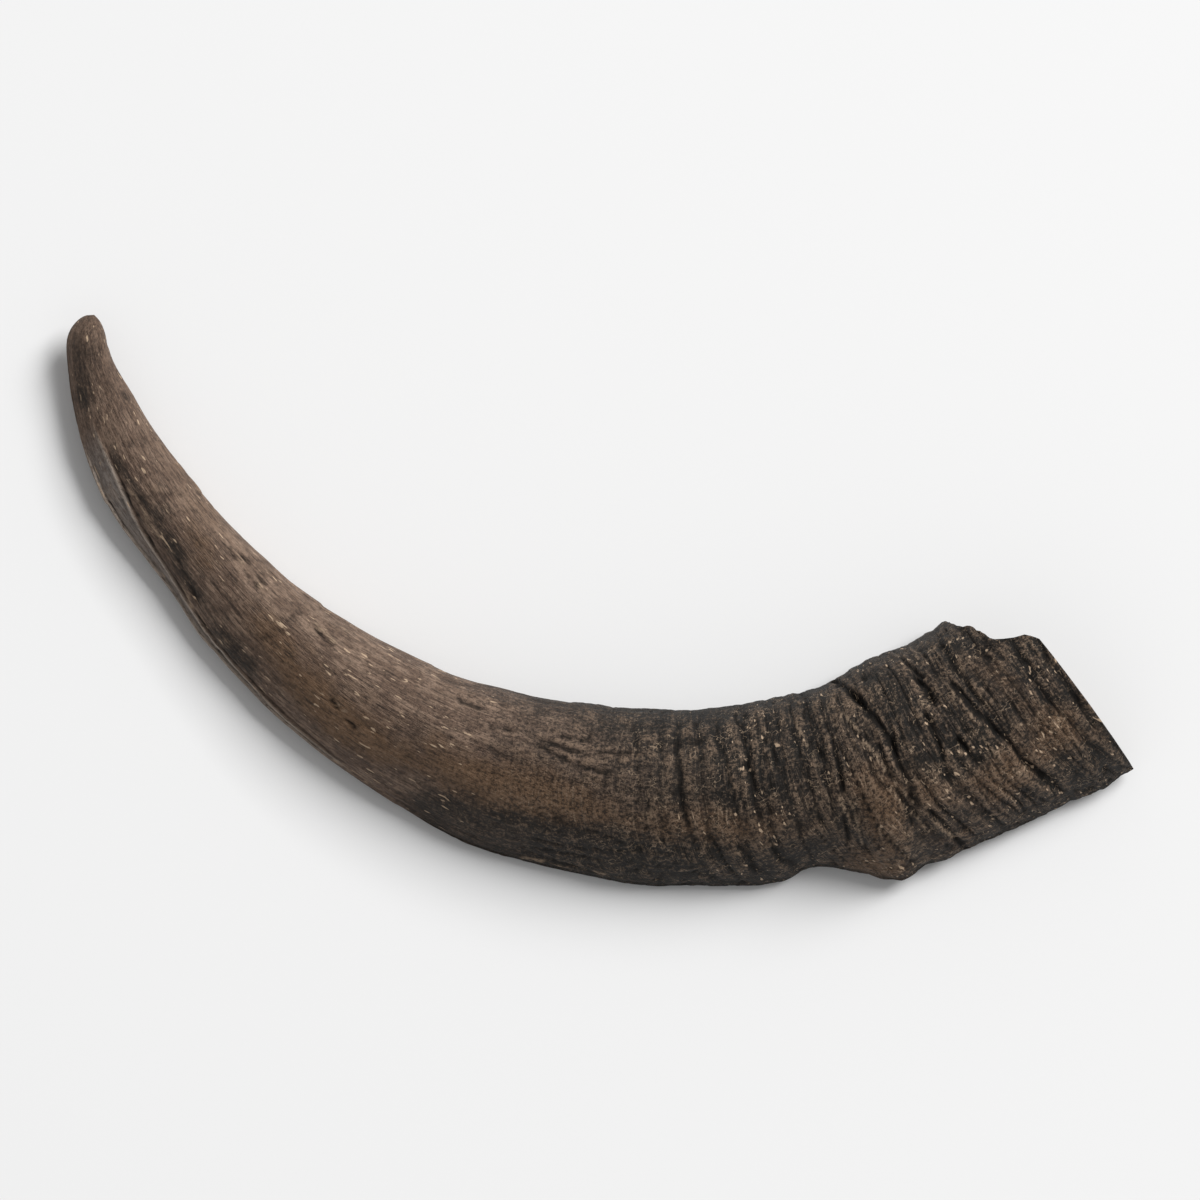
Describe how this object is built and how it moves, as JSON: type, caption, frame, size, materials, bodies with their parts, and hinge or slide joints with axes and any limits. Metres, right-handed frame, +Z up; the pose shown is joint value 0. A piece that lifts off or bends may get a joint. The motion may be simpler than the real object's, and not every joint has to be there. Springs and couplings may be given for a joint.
{
  "type": "goat horn",
  "caption": "Curved horn sheath from a goat, sawn off and hollow at the base, solid towards the blunt tip, with a keel and growth rings.",
  "frame": {"origin": "middle of the box that holds the horn, on the surface that it lies on", "axes": "+X along the longest reach, from the tip's side towards the sawn end; +Y towards the hollow of the curve; +Z up, out of the rounded outer side"},
  "size_m": [0.2406, 0.1288, 0.032],
  "materials": {
    "horn_keratin": "dull weathered horn, grey-brown, with fine fibres along the tip half and growth rings near the base"
  },
  "bodies": {
    "root": {"horn": "horn_keratin"}
  },
  "joints": []
}
